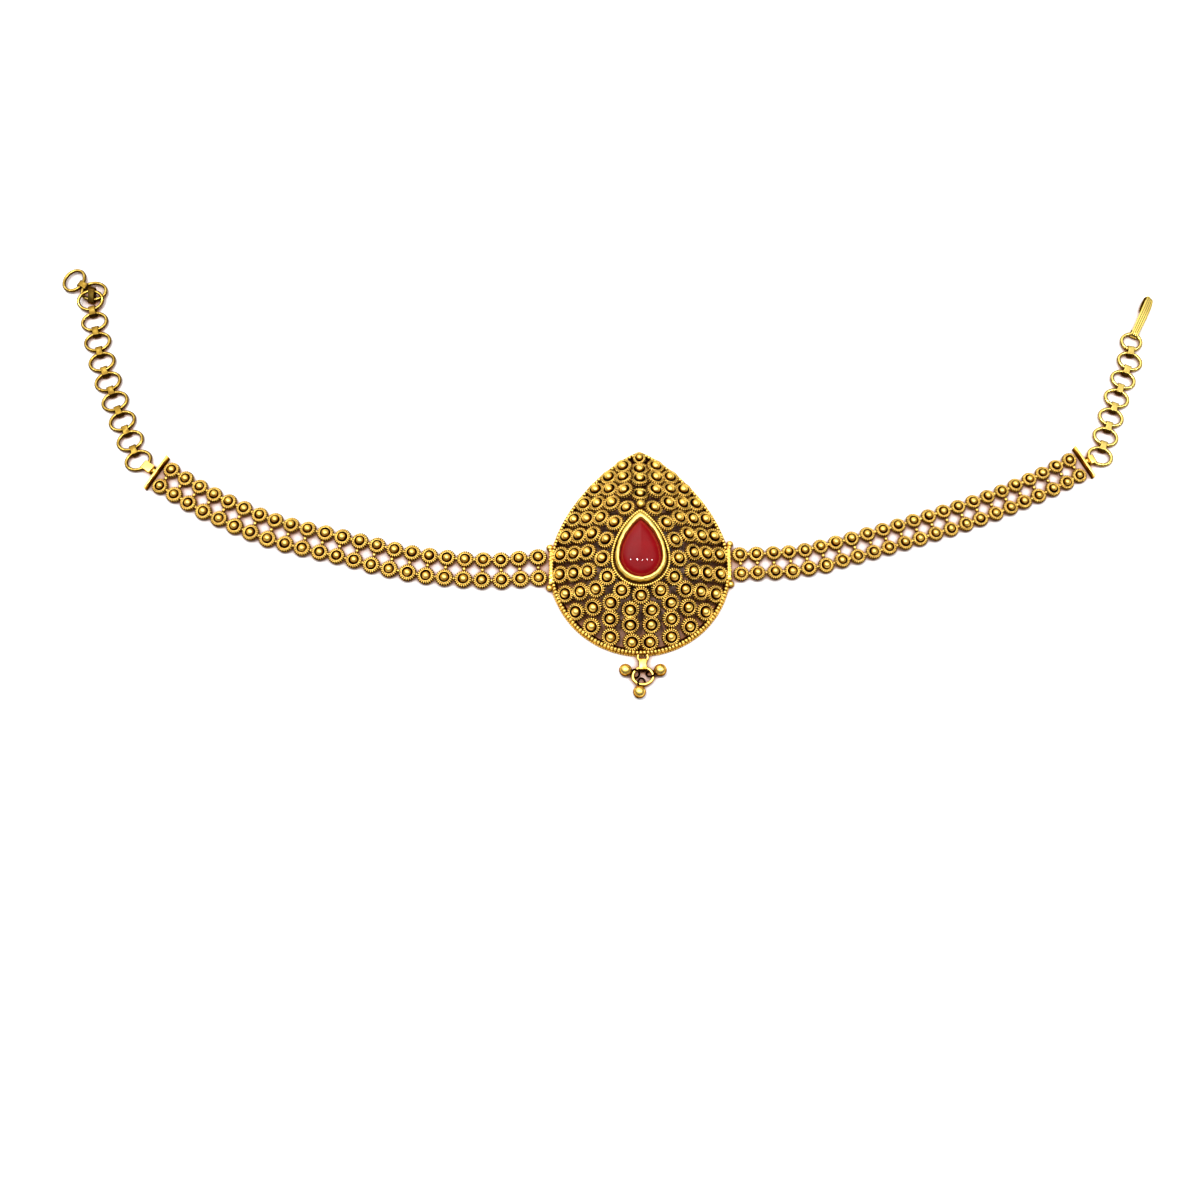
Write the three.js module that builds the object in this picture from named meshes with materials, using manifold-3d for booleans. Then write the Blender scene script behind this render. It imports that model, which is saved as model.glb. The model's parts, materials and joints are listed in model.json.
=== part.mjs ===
// Granulated armlet, opened out and lying flat: a domed pear plaque with a red
// cabochon, a band of paired cups on each side, and a chain on each band's end bar.
// One chain carries the hook, and a drop of three balls hangs below the plaque.
// Units are millimetres. The plaque faces up (+Z) and its point looks along +Y.

import * as THREE from 'three';
import Module from 'manifold-3d';
import { mergeVertices } from 'three/addons/utils/BufferGeometryUtils.js';

const wasm = await Module();
wasm.setup();

// ---------------------------------------------------------------- driving sizes

const cupSides = 10;
const wireSides = 5;              // of the round wire that rings and eyes are made of
const ringSides = 10;
const overlap = 0.12;             // how far soldered neighbours run into each other
const clearance = 0.12;           // between a wire and the metal that goes round it
const smoothing = 0.11;           // solder joints are smoothed to within this

// Plaque. Every closed row is a pear with its widest level at the waist. It is half an
// ellipse below the waist, and above it the two powers draw the sides in to a point. Cups
// are counted from a row's middle cup, at the foot or at the tip, which is half way round.
// Crowding moves them towards the tip, by up to that share of the way round, and a middle
// cup at the tip is set back to the apex.
const waist = -1.6;
const pearPowers = { level: 1.8, width: 0.8 };
const atFoot = 0;
const atTip = 0.5;
const frameRow = { side: 19.0, foot: -20.7, tip: 24.5 };
const bezelRow = { side: 5.25, foot: -6.9, tip: 8.2 };
const cupRows = [
  { side: 16.8, foot: -18.3, tip: 22.6, height: 1.9, lean: 22, cups: 27, pitch: 4.26,
    middle: atTip, crowding: 0.012, apex: 20.0 },
  { side: 13.95, foot: -15.05, tip: 19.7, height: 3.4, lean: 26, cups: 23, pitch: 4.18,
    middle: atTip, crowding: 0.006, apex: 17.2 },
  { side: 11.1, foot: -12.3, tip: 16.4, height: 4.8, lean: 26, cups: 19, pitch: 4.12,
    middle: atTip, crowding: 0.007, apex: 13.2 },
  { side: 7.85, foot: -9.35, tip: 11.9, height: 6.1, lean: 22, cups: 13, pitch: 4.14,
    middle: atFoot, crowding: 0 },
];
const tipCup = { y: 22.9, height: 1.4, size: 0.7 };
const crownGranule = { y: 10.4, height: 5.6, radius: 0.85 };
const plaqueCup = { radius: 1.98, bottom: -0.5, rim: 0.5, groove: 1.45, top: 1.2 };

const frame = { height: 1.7, shoulder: 1.1, inner: 0.955, steps: 28 };
const bezel = { bottom: 5.6, floor: 6.6, top: 9.0, inner: 0.83, foot: 1.19, footTop: 6.9, steps: 14 };
const stoneFit = 0.79;            // the stone's share of the bezel's width
const dome = [                    // of the stone: share of its width, height
  { width: 1, height: 8.3 },
  { width: 0.8, height: 9.2 },
  { width: 0.45, height: 9.65 },
  { width: 0, height: 9.8 },
];
const lug = { thickness: 0.6, length: 7.6, height: 2.0, face: 19.05, granule: 0.75 };

// Bands. Pairs of cups, soldered side by side, follow a gently rising line. Their cup has
// a unit radius, because it is sized to reach its neighbours.
const pairs = 23;
const bandCup = { radius: 1, bottom: 0, rim: 1.4, groove: 0.71, top: 2.1 };
const bands = {
  left: {
    rowSpacing: 4.4,
    taper: 0.06,
    line: [[-21.45, -1.7], [-32, -2.3], [-47.5, -0.8], [-63.1, 2.9], [-78.2, 6.8],
      [-92.1, 12.9], [-101.6, 18.5]],
  },
  right: {
    rowSpacing: 4.15,
    taper: 0.05,
    line: [[21.2, -0.9], [33.4, -0.1], [47.6, 3.4], [61.9, 7.8], [75.5, 12.5],
      [87.6, 17.8], [93.6, 21.0]],
  },
};

// Chains. Each oval ring is wider across the chain than along it.
const wire = 0.7;
const strip = 0.25;               // thickness of the folded tabs
const slant = 0.7;                // length of a tab's slanted end, for each unit of its half height
const tabWidth = 1.5;
const linkGap = 0.95;             // between the wires of two neighbouring rings
const wireHeight = strip + clearance + wire / 2;
const chains = {
  left: {
    across: 6.0, along: 4.8, rings: 9,
    line: [[-108.0, 22.7], [-112.5, 32.4], [-118.2, 46.4], [-121.9, 60.8]],
  },
  right: {
    across: 5.6, along: 4.55, rings: 6,
    line: [[99.5, 23.7], [104.3, 37.0], [108.2, 46.2]],
  },
};
const liftedTilt = 17;            // the ninth left ring leans on the tenth, in degrees
const tuckedRing = { x: -121.5, y: 63.3, lift: 0.15, heading: 95 };
const looseHeading = 150;         // direction from the tucked ring to the last one
const lastRightRing = { across: 4.9, along: 4.5, heading: 80 };

const bar = { thickness: 0.6, height: 1.9, gap: 0.3, left: 8.6, right: 7.8, tabWidth: 1.9 };
const hookSize = { heading: 65, length: 9.4, width: 1.6, strip: 0.45, fold: 3.6 };

// Drop, hung from a loop at the plaque's foot.
const loop = { x: 0.4, y: -21.1, radius: 1.03, wire: 0.56 };
const dropRing = { x: 0.4, y: -25.2, across: 4.8, along: 4.2, wire: 0.6 };
const dropHeight = 0.9;
const bailWidth = 1.1;
const eye = { radius: 0.62, wire: 0.4 };
const ball = { radius: 1.33, reach: 1.72, directions: { left: 162, right: 18, bottom: 258 } };

// ---------------------------------------------------------------- metals and stone

const gold = new THREE.MeshStandardMaterial({ color: 0x9c7431, roughness: 0.38, metalness: 1 });
const paleGold = new THREE.MeshStandardMaterial({ color: 0xc4a15a, roughness: 0.3, metalness: 1 });
const redStone = new THREE.MeshStandardMaterial({ color: 0x8e1519, roughness: 0.08, metalness: 0 });

// ---------------------------------------------------------------- helpers

const degrees = THREE.MathUtils.degToRad;
const up = new THREE.Vector3(0, 0, 1);

function solidOf(geometry) {
  const bare = geometry.clone();
  bare.deleteAttribute('normal');
  bare.deleteAttribute('uv');
  const merged = mergeVertices(bare, 1e-4);
  return new wasm.Manifold(new wasm.Mesh({
    numProp: 3,
    vertProperties: new Float32Array(merged.attributes.position.array),
    triVerts: new Uint32Array(merged.index.array),
  }));
}

// Solders several shapes into one solid and drops the faces that the joints split.
function solder(geometries) {
  const joined = wasm.Manifold.union(geometries.map(solidOf)).asOriginal().simplify(smoothing);
  const { vertProperties, triVerts } = joined.getMesh();
  const geometry = new THREE.BufferGeometry();
  geometry.setAttribute('position', new THREE.BufferAttribute(vertProperties, 3));
  geometry.setIndex(new THREE.BufferAttribute(triVerts, 1));
  return geometry;
}

// A turned shape about +Z, from [radius, height] pairs.
function turned(profile, sides) {
  const points = profile.map(([r, z]) => new THREE.Vector2(r, z));
  return new THREE.LatheGeometry(points, sides).rotateX(Math.PI / 2);
}

// A turned shape of unit radius whose every point is carried out to a pear outline.
function pearShape(profile, row, steps) {
  const geometry = turned(profile, steps);
  const position = geometry.attributes.position;
  for (let i = 0; i < position.count; i += 1) {
    const x = position.getX(i);
    const y = position.getY(i);
    const rim = pearPoint(row, Math.atan2(x, -y));
    const reach = Math.hypot(x, y);
    position.setXY(i, rim.x * reach, waist + (rim.y - waist) * reach);
  }
  return geometry;
}

// Outline of a pear row: the angle is 0 at the foot, a quarter turn at the waist
// and a half turn at the tip.
function pearPoint(row, angle) {
  const level = -Math.cos(angle);
  const below = Math.sqrt(1 - level ** 2);
  const width = level < 0 ? below : (1 - level ** pearPowers.level) ** pearPowers.width;
  const reach = level < 0 ? waist - row.foot : row.tip - waist;
  return new THREE.Vector3(Math.sign(Math.sin(angle)) * row.side * width, waist + reach * level, 0);
}

function pearCurve(row) {
  const steps = 120;
  const points = Array.from({ length: steps }, (_, i) => pearPoint(row, (i / steps) * 2 * Math.PI));
  const curve = new THREE.CatmullRomCurve3(points, true);
  curve.arcLengthDivisions = 10 * steps;
  return curve;
}

function curveThrough(line) {
  return new THREE.CatmullRomCurve3(line.map(([x, y]) => new THREE.Vector3(x, y, 0)));
}

function direction(heading) {
  return new THREE.Vector3(Math.cos(degrees(heading)), Math.sin(degrees(heading)), 0);
}

// Places a shape whose own X and Z axes are to lie along the given directions.
function placed(geometry, place, xAxis, zAxis) {
  const yAxis = zAxis.clone().cross(xAxis).normalize();
  const frameOfShape = new THREE.Matrix4().makeBasis(xAxis, yAxis, zAxis).setPosition(place);
  return geometry.clone().applyMatrix4(frameOfShape);
}

function mesh(name, geometry, material) {
  const piece = new THREE.Mesh(geometry, material);
  piece.name = name;
  return piece;
}

// ---------------------------------------------------------------- granulated cups

// A cup: a drum with a flat rim, and a granule rising from the middle of it.
function cup({ radius, bottom, rim, groove, top }) {
  const profile = [[0, bottom], [radius, bottom], [radius, rim], [groove, rim], [0, top]];
  return turned(profile, cupSides);
}

// ---------------------------------------------------------------- plaque

function rowOfCups(row) {
  const shape = cup(plaqueCup);
  const curve = pearCurve(row);
  const length = curve.getLength();
  return Array.from({ length: row.cups }, (_, i) => {
    const fromMiddle = (i - (row.cups - 1) / 2) * row.pitch;
    const even = row.middle + fromMiddle / length;
    const crowded = even + row.crowding * Math.sin(2 * Math.PI * even);
    const turn = THREE.MathUtils.euclideanModulo(crowded, 1);
    const place = curve.getPointAt(turn).setZ(row.height);
    if (row.apex && fromMiddle === 0) place.setY(row.apex);
    const tangent = curve.getTangentAt(turn);
    const outward = new THREE.Vector3(tangent.y, -tangent.x, 0);
    const facing = up.clone().multiplyScalar(Math.cos(degrees(row.lean)))
      .addScaledVector(outward, Math.sin(degrees(row.lean)));
    return placed(shape, place, tangent, facing);
  });
}

function frameWall() {
  const { height, shoulder, inner, steps } = frame;
  const crest = (1 + inner) / 2;
  const profile = [[inner, 0], [1, 0], [1, shoulder], [crest, height], [inner, shoulder], [inner, 0]];
  return pearShape(profile, frameRow, steps);
}

function bezelCup() {
  const { bottom, floor, top, inner, foot, footTop, steps } = bezel;
  const profile = [[0, bottom], [foot, bottom], [foot, footTop], [1, footTop], [1, top],
    [inner, top], [inner, floor], [0, floor]];
  return pearShape(profile, bezelRow, steps);
}

// A granule on a short neck, rising from its place.
function grain(radius) {
  return turned([[0, 0], [radius, 0], [radius, radius], [0, 2 * radius]], cupSides);
}

// The upright strip on the frame's side that a band starts from, with a granule at each end.
function sideLug(side, level) {
  const block = new THREE.BoxGeometry(lug.thickness, lug.length, lug.height);
  block.translate(side * (lug.face - lug.thickness / 2), level, lug.height / 2);
  const granules = [-1, 1].map((end) => {
    const { granule, length, face } = lug;
    return grain(granule).translate(side * face, level + end * (length / 2 + granule - overlap), 0);
  });
  return [block, ...granules];
}

function dropLoop() {
  const ring = new THREE.TorusGeometry(loop.radius, loop.wire / 2, wireSides, ringSides);
  return ring.translate(loop.x, loop.y, dropHeight);
}

const plaqueParts = [
  ...cupRows.flatMap(rowOfCups),
  cup(plaqueCup).scale(tipCup.size, tipCup.size, tipCup.size).translate(0, tipCup.y, tipCup.height),
  grain(crownGranule.radius).translate(0, crownGranule.y, crownGranule.height),
  frameWall(),
  bezelCup(),
  ...sideLug(-1, bands.left.line[0][1]),
  ...sideLug(1, bands.right.line[0][1]),
  dropLoop(),
];
const plaque = mesh('plaque', solder(plaqueParts), gold);

function cabochon() {
  const bed = bezel.floor + clearance;
  const rounded = dome.map(({ width, height }) => [width * stoneFit, height]);
  return pearShape([[0, bed], [stoneFit, bed], ...rounded], bezelRow, bezel.steps);
}
const stone = mesh('stone', cabochon(), redStone);

// ---------------------------------------------------------------- bands

// Walks along the line in steps that shrink with the cups, so neighbours keep touching.
function band({ rowSpacing, taper, line }) {
  const curve = curveThrough(line);
  const sizes = Array.from({ length: pairs }, (_, i) => 1 + taper * (0.5 - i / (pairs - 1)));
  const pitch = curve.getLength() / sizes.slice(1).reduce((sum, size) => sum + size, 0);
  const shape = cup(bandCup);
  let travelled = -sizes[0] * pitch;
  return solder(sizes.flatMap((size) => {
    travelled += size * pitch;
    const turn = Math.min(travelled / curve.getLength(), 1);
    const tangent = curve.getTangentAt(turn);
    const sideways = up.clone().cross(tangent);
    const halfStep = (size * pitch + overlap) / 2;
    const halfRow = (size * rowSpacing + overlap) / 2;
    const sized = shape.clone().scale(halfStep / Math.cos(Math.PI / cupSides), halfRow, 1);
    return [-1, 1].map((row) => {
      const centre = curve.getPointAt(turn).addScaledVector(sideways, (row * size * rowSpacing) / 2);
      return placed(sized, centre, tangent, up);
    });
  }));
}
const bandLeft = mesh('band_left', band(bands.left), gold);
const bandRight = mesh('band_right', band(bands.right), gold);

// ---------------------------------------------------------------- folded strips

// Outline of a strip folded round two wires: a flat loop with slanted ends.
function foldedOutline(Kind, halfLength, halfHeight) {
  const shoulder = halfLength - slant * halfHeight;
  return new Kind([
    new THREE.Vector2(halfLength, 0),
    new THREE.Vector2(shoulder, halfHeight),
    new THREE.Vector2(-shoulder, halfHeight),
    new THREE.Vector2(-halfLength, 0),
    new THREE.Vector2(-shoulder, -halfHeight),
    new THREE.Vector2(shoulder, -halfHeight),
  ]);
}

// Extrudes a side view (length, height) across its width.
function crosswise(shape, width) {
  const options = { depth: width, bevelEnabled: false, curveSegments: 3 };
  return new THREE.ExtrudeGeometry(shape, options).translate(0, 0, -width / 2).rotateX(Math.PI / 2);
}

// A folded tab round the wires at two places, which may lie at different heights.
function tab(from, to, wireSize, width) {
  const axis = to.clone().sub(from);
  const halfHole = axis.length() / 2 + wireSize / 2 + 3 * clearance;
  const halfHoleHeight = wireSize / 2 + clearance;
  const outline = foldedOutline(THREE.Shape, halfHole + strip, halfHoleHeight + strip);
  outline.holes.push(foldedOutline(THREE.Path, halfHole, halfHoleHeight));
  axis.normalize();
  const sideways = up.clone().cross(axis).normalize();
  const place = from.clone().add(to).multiplyScalar(0.5);
  return placed(crosswise(outline, width), place, axis, axis.clone().cross(sideways));
}

// ---------------------------------------------------------------- chains

// Lays an oval ring with its short axis along the heading, tilted about its long axis.
function chainRing({ centre, heading, tilt = 0, across, along }) {
  const halfAcross = (across - wire) / 2;
  const halfAlong = (along - wire) / 2;
  const geometry = new THREE.TorusGeometry(halfAcross, wire / 2, wireSides, ringSides);
  geometry.rotateZ(Math.PI / 2).scale(halfAlong / halfAcross, 1, 1);
  geometry.rotateY(degrees(-tilt)).rotateZ(degrees(heading));
  return geometry.translate(...centre);
}

// Point on a ring's wire that faces another place.
function wireFacing({ centre, heading, tilt = 0, across, along }, target) {
  const toTarget = target.clone().sub(centre).applyAxisAngle(up, degrees(-heading));
  const angle = Math.atan2(toTarget.y, toTarget.x);
  const halfAcross = (across - wire) / 2;
  const halfAlong = (along - wire) / 2;
  const reach = 1 / Math.hypot(Math.cos(angle) / halfAlong, Math.sin(angle) / halfAcross);
  const point = new THREE.Vector3(Math.cos(angle) * reach, Math.sin(angle) * reach, 0);
  point.applyAxisAngle(new THREE.Vector3(0, 1, 0), degrees(-tilt));
  return point.applyAxisAngle(up, degrees(heading)).add(centre);
}

function headingOf(vector) {
  return THREE.MathUtils.radToDeg(Math.atan2(vector.y, vector.x));
}

function ringsAlong({ across, along, rings, line }) {
  const curve = curveThrough(line);
  return Array.from({ length: rings }, (_, i) => {
    const turn = i / (rings - 1);
    const centre = curve.getPointAt(turn).setZ(wireHeight);
    return { centre, heading: headingOf(curve.getTangentAt(turn)), across, along };
  });
}

const leftRings = ringsAlong(chains.left);
const rightRings = ringsAlong(chains.right);

// The ninth left ring is lifted onto the tenth, which has slid back under it.
const lifted = leftRings.at(-1);
lifted.tilt = liftedTilt;
lifted.centre.z += (lifted.along - wire) / 2 * Math.sin(degrees(liftedTilt));
const tucked = {
  ...lifted,
  tilt: 0,
  heading: tuckedRing.heading,
  centre: new THREE.Vector3(tuckedRing.x, tuckedRing.y, wireHeight + tuckedRing.lift),
};
const outwards = direction(looseHeading);
const tuckedEdge = wireFacing(tucked, tucked.centre.clone().add(outwards));
const looseOffset = linkGap + (lifted.along - wire) / 2;
const loose = {
  ...tucked,
  heading: looseHeading,
  centre: tuckedEdge.clone().addScaledVector(outwards, looseOffset),
};
leftRings.push(tucked, loose);

const beforeLast = rightRings.at(-1);
const rightHeading = direction(lastRightRing.heading);
const lastOffset = linkGap + (lastRightRing.along - wire) / 2;
rightRings.push({
  ...lastRightRing,
  centre: wireFacing(beforeLast, beforeLast.centre.clone().add(rightHeading))
    .addScaledVector(rightHeading, lastOffset),
});

function chain(side, rings) {
  const links = rings.map((ring, i) => mesh(`ring_${side}_${i + 1}`, chainRing(ring), paleGold));
  const tabs = rings.slice(1).map((ring, i) => {
    const previous = rings[i];
    const from = wireFacing(previous, ring.centre);
    const to = wireFacing(ring, previous.centre);
    return mesh(`tab_${side}_${i + 1}`, tab(from, to, wire, tabWidth), paleGold);
  });
  return [...links, ...tabs];
}

// ---------------------------------------------------------------- end bars and hook

const eyeHalfHeight = wire / 2 + clearance + strip;
const eyeHalfLength = wire / 2 + 3 * clearance + strip;
const eyeSlant = slant * eyeHalfHeight;

// Hole of an eye that goes round a ring's wire, a little long because the wire curves.
function eyeHole() {
  return foldedOutline(THREE.Path, eyeHalfLength - strip, eyeHalfHeight - strip);
}

// A standing flat bar across the band's end, with a folded tab that holds the first ring.
function endBar({ line, taper }, length, firstRing) {
  const curve = curveThrough(line);
  const outward = curve.getTangentAt(1);
  const pitch = curve.getLength() / (pairs - 1);
  const halfCup = (pitch * (1 - taper / 2) + overlap) / 2;
  const centre = curve.getPointAt(1).addScaledVector(outward, halfCup + bar.gap + bar.thickness / 2);
  const block = new THREE.BoxGeometry(bar.thickness, length, bar.height);

  const wirePoint = wireFacing(firstRing, centre);
  const axis = wirePoint.clone().sub(centre).setZ(0);
  const outline = new THREE.Shape([
    new THREE.Vector2(-axis.length(), -eyeHalfHeight),
    new THREE.Vector2(eyeHalfLength - eyeSlant, -eyeHalfHeight),
    new THREE.Vector2(eyeHalfLength, 0),
    new THREE.Vector2(eyeHalfLength - eyeSlant, eyeHalfHeight),
    new THREE.Vector2(-axis.length(), eyeHalfHeight),
  ]);
  outline.holes.push(eyeHole());
  return solder([
    placed(block, centre.clone().setZ(bar.height / 2), outward, up),
    placed(crosswise(outline, bar.tabWidth), wirePoint, axis.normalize(), up),
  ]);
}

// A flat strip that starts in an eye and folds under at its tip.
function hookShape(lastRing) {
  const { heading, length, width, strip: thickness, fold } = hookSize;
  const inner = eyeHalfHeight - thickness;
  const bend = length - eyeHalfHeight;
  const outline = new THREE.Shape();
  outline.moveTo(-eyeHalfLength, 0);
  outline.lineTo(eyeSlant - eyeHalfLength, -eyeHalfHeight);
  outline.lineTo(eyeHalfLength - eyeSlant, -eyeHalfHeight);
  outline.lineTo(eyeHalfLength, inner);
  outline.absarc(bend, 0, inner, Math.PI / 2, -Math.PI / 2, true);
  outline.lineTo(bend - fold, -inner);
  outline.lineTo(bend - fold, -eyeHalfHeight);
  outline.absarc(bend, 0, eyeHalfHeight, -Math.PI / 2, Math.PI / 2, false);
  outline.lineTo(eyeSlant - eyeHalfLength, eyeHalfHeight);
  outline.holes.push(eyeHole());
  const along = direction(heading);
  const wirePoint = wireFacing(lastRing, lastRing.centre.clone().add(along));
  return placed(crosswise(outline, width), wirePoint, along, up);
}

// ---------------------------------------------------------------- drop

const halfAcross = (dropRing.across - dropRing.wire) / 2;
const halfAlong = (dropRing.along - dropRing.wire) / 2;
const dropPlace = new THREE.Vector3(dropRing.x, dropRing.y, dropHeight);
const dropWireTop = new THREE.Vector3(dropRing.x, dropRing.y + halfAlong, dropHeight);
const loopWireFoot = new THREE.Vector3(loop.x, loop.y - loop.radius, dropHeight);

// A ball with an eye round the drop ring's wire, on the given side of the ring.
function hangingBall(heading) {
  const outward = direction(heading);
  const reach = 1 / Math.hypot(outward.x / halfAcross, outward.y / halfAlong);
  const wirePoint = dropPlace.clone().addScaledVector(outward, reach);
  const centre = wirePoint.clone().addScaledVector(outward, ball.reach).setZ(ball.radius);
  const sphere = new THREE.SphereGeometry(ball.radius, ringSides, ringSides / 2).rotateX(Math.PI / 2);
  const ringEye = new THREE.TorusGeometry(eye.radius, eye.wire / 2, wireSides, ringSides);
  return solder([
    sphere.translate(...centre),
    placed(ringEye, wirePoint, outward, outward.clone().cross(up)),
  ]);
}

function dropRingShape() {
  const geometry = new THREE.TorusGeometry(halfAcross, dropRing.wire / 2, wireSides, ringSides);
  return geometry.scale(1, halfAlong / halfAcross, 1).translate(...dropPlace);
}

// ---------------------------------------------------------------- the whole armlet

const armlet = new THREE.Group();
armlet.add(plaque, stone, bandLeft, bandRight);
armlet.add(mesh('end_bar_left', endBar(bands.left, bar.left, leftRings[0]), gold));
armlet.add(mesh('end_bar_right', endBar(bands.right, bar.right, rightRings[0]), gold));
armlet.add(...chain('left', leftRings), ...chain('right', rightRings));
armlet.add(mesh('hook', hookShape(rightRings.at(-1)), paleGold));
armlet.add(mesh('drop_ring', dropRingShape(), gold));
armlet.add(mesh('drop_bail', tab(loopWireFoot, dropWireTop, dropRing.wire, bailWidth), gold));
for (const [side, heading] of Object.entries(ball.directions)) {
  armlet.add(mesh(`drop_ball_${side}`, hangingBall(heading), gold));
}

// The origin is under the middle of the whole armlet, on the surface that it lies on.
const extent = new THREE.Box3().setFromObject(armlet);
const middle = extent.getCenter(new THREE.Vector3());
armlet.position.set(-middle.x, -middle.y, -extent.min.z);

export default armlet;
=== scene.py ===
# %% [markdown]
# # A granulated gold armlet, laid open
# This armlet is made of hundreds of small parts: rings of notched wire that each hold a
# gold granule, a setting with a red stone, and two chains of oval rings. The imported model
# gives every part's place and size. The cells below build the fine shapes on top of it,
# one kind of part at a time, and then give them their metals.

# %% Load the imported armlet
import json
import math
import random

import bmesh
import bpy
import numpy as np
from mathutils import Matrix, Vector, noise

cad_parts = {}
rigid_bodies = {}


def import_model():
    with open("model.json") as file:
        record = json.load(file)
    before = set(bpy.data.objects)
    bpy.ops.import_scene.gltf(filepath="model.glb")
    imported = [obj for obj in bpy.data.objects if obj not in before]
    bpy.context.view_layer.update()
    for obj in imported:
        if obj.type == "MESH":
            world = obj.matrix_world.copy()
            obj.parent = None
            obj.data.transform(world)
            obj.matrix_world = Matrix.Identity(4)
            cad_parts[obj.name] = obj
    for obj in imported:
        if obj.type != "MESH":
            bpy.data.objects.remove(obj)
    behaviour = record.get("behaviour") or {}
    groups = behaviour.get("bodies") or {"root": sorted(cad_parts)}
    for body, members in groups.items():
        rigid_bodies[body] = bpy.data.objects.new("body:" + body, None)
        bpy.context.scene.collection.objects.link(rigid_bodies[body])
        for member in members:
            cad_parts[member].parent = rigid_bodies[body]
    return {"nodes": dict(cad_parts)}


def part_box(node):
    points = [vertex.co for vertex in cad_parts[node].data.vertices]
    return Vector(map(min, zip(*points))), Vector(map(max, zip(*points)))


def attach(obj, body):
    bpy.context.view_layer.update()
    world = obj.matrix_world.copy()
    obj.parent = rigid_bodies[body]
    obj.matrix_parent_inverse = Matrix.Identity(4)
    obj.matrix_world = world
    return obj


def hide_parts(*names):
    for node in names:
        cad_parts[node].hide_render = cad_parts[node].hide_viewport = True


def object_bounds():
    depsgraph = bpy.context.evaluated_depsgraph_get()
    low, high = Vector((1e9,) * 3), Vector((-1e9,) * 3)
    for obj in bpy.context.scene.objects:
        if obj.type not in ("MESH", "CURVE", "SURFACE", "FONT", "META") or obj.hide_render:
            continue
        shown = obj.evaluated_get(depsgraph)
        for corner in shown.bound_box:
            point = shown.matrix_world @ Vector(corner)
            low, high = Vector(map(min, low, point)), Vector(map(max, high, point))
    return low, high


for leftover in list(bpy.data.objects):
    bpy.data.objects.remove(leftover)
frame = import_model()
cad_low, cad_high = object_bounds()
print("packed armlet, in millimetres:", [round(1000 * side, 1) for side in cad_high - cad_low])

# %% [markdown]
# Small jewellery is easier to think about in millimetres, so every shape is built in
# millimetres and made a thousand times smaller when it becomes an object. Places are read
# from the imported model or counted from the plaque's own origin. That lies on the middle line
# of the plaque's box, and a pear's length below the farthest point that it reaches along Y.

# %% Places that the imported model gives
MM = 0.001
UP = Vector((0, 0, 1))
FRAME_PEAR = {"side": 19.0, "foot": -20.7, "tip": 24.5}
WAIST = -1.6

plaque_low, plaque_high = (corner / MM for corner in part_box("plaque"))
PLAQUE = Vector(((plaque_low.x + plaque_high.x) / 2, plaque_high.y - FRAME_PEAR["tip"], 0))
print("plaque's own origin:", [round(value, 2) for value in PLAQUE])

# %% [markdown]
# The armlet lies flat on a table, and the eye looks down on it steeply, a little from the
# wearer's side. A lens of 45 mm at arm's length keeps the ends of the bands from leaning.
# The armlet sits high in the picture because the camera aims at the table in front of it.

# %% Camera
AIM = PLAQUE + Vector((-8.44, -8.52, 0))
DISTANCE = 315.0
ELEVATION = math.radians(73)
LENS = 45


def in_scene(name, data):
    """Makes an object of a mesh, a lamp or a camera and puts it in the scene."""
    made = bpy.data.objects.new(name, data)
    bpy.context.scene.collection.objects.link(made)
    return made


back = Vector((0, -math.cos(ELEVATION), math.sin(ELEVATION)))
camera_data = bpy.data.cameras.new("camera")
camera_data.lens = LENS
camera_data.sensor_width = 36
camera_data.clip_start = 0.01
camera = in_scene("camera", camera_data)
camera.location = (AIM + back * DISTANCE) * MM
camera.rotation_euler = (-back).to_track_quat("-Z", "Y").to_euler()
bpy.context.scene.camera = camera
print("camera at", [round(value, 3) for value in camera.location])

# %% [markdown]
# ## Helpers
# Nearly every part is round somewhere, so the most used helper spins a profile about the Z
# axis, as a lathe turns a bar. The spin operator copies the profile step by step and joins
# the copies with faces. A profile that ends on the axis closes itself once the doubled
# points there are merged, and the normals are worked out again afterwards.

# %% Lathe, sharp edges and shapes
SHARP = math.radians(50)
WIRE_SHARP = 2.0
HERE = Matrix.Identity(4)


def lathe(profile, steps, closed=False):
    """Spins (radius, height) pairs once round the Z axis."""
    bm = bmesh.new()
    points = [bm.verts.new((radius, 0, height)) for radius, height in profile]
    pairs = list(zip(points, points[1:]))
    if closed:
        pairs.append((points[-1], points[0]))
    edges = [bm.edges.new(pair) for pair in pairs]
    bmesh.ops.spin(
        bm, geom=points + edges, cent=(0, 0, 0), axis=(0, 0, 1),
        angle=2 * math.pi, steps=steps, use_merge=True,
    )
    bmesh.ops.remove_doubles(bm, verts=bm.verts, dist=1e-5)
    bmesh.ops.recalc_face_normals(bm, faces=bm.faces)
    return bm


def round_section(radius, wire, sides):
    """The round section of a wire that will be spun into a ring, wire being its radius."""
    angles = [2 * math.pi * side / sides for side in range(sides)]
    return [(radius + wire * math.cos(a), wire * math.sin(a)) for a in angles]


def mark_sharp(bm, limit=SHARP):
    """Shades the faces smooth, with a crease where two of them meet at a steep angle."""
    for face in bm.faces:
        face.smooth = True
    for edge in bm.edges:
        if edge.is_manifold and edge.calc_face_angle() > limit:
            edge.smooth = False


def to_mesh(bm, name):
    """Turns a bmesh into a mesh and frees it."""
    mesh = bpy.data.meshes.new(name)
    bm.to_mesh(mesh)
    bm.free()
    return mesh


def as_shape(bm, limit=SHARP):
    """Shades a bmesh and makes it a mesh that can be stamped many times."""
    mark_sharp(bm, limit)
    return to_mesh(bm, "shape")


def stamp(bm, shape, matrix):
    """Adds a copy of a shape to a bmesh, placed by a matrix."""
    copy = shape.copy()
    copy.transform(matrix)
    bm.from_mesh(copy)
    bpy.data.meshes.remove(copy)


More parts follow.
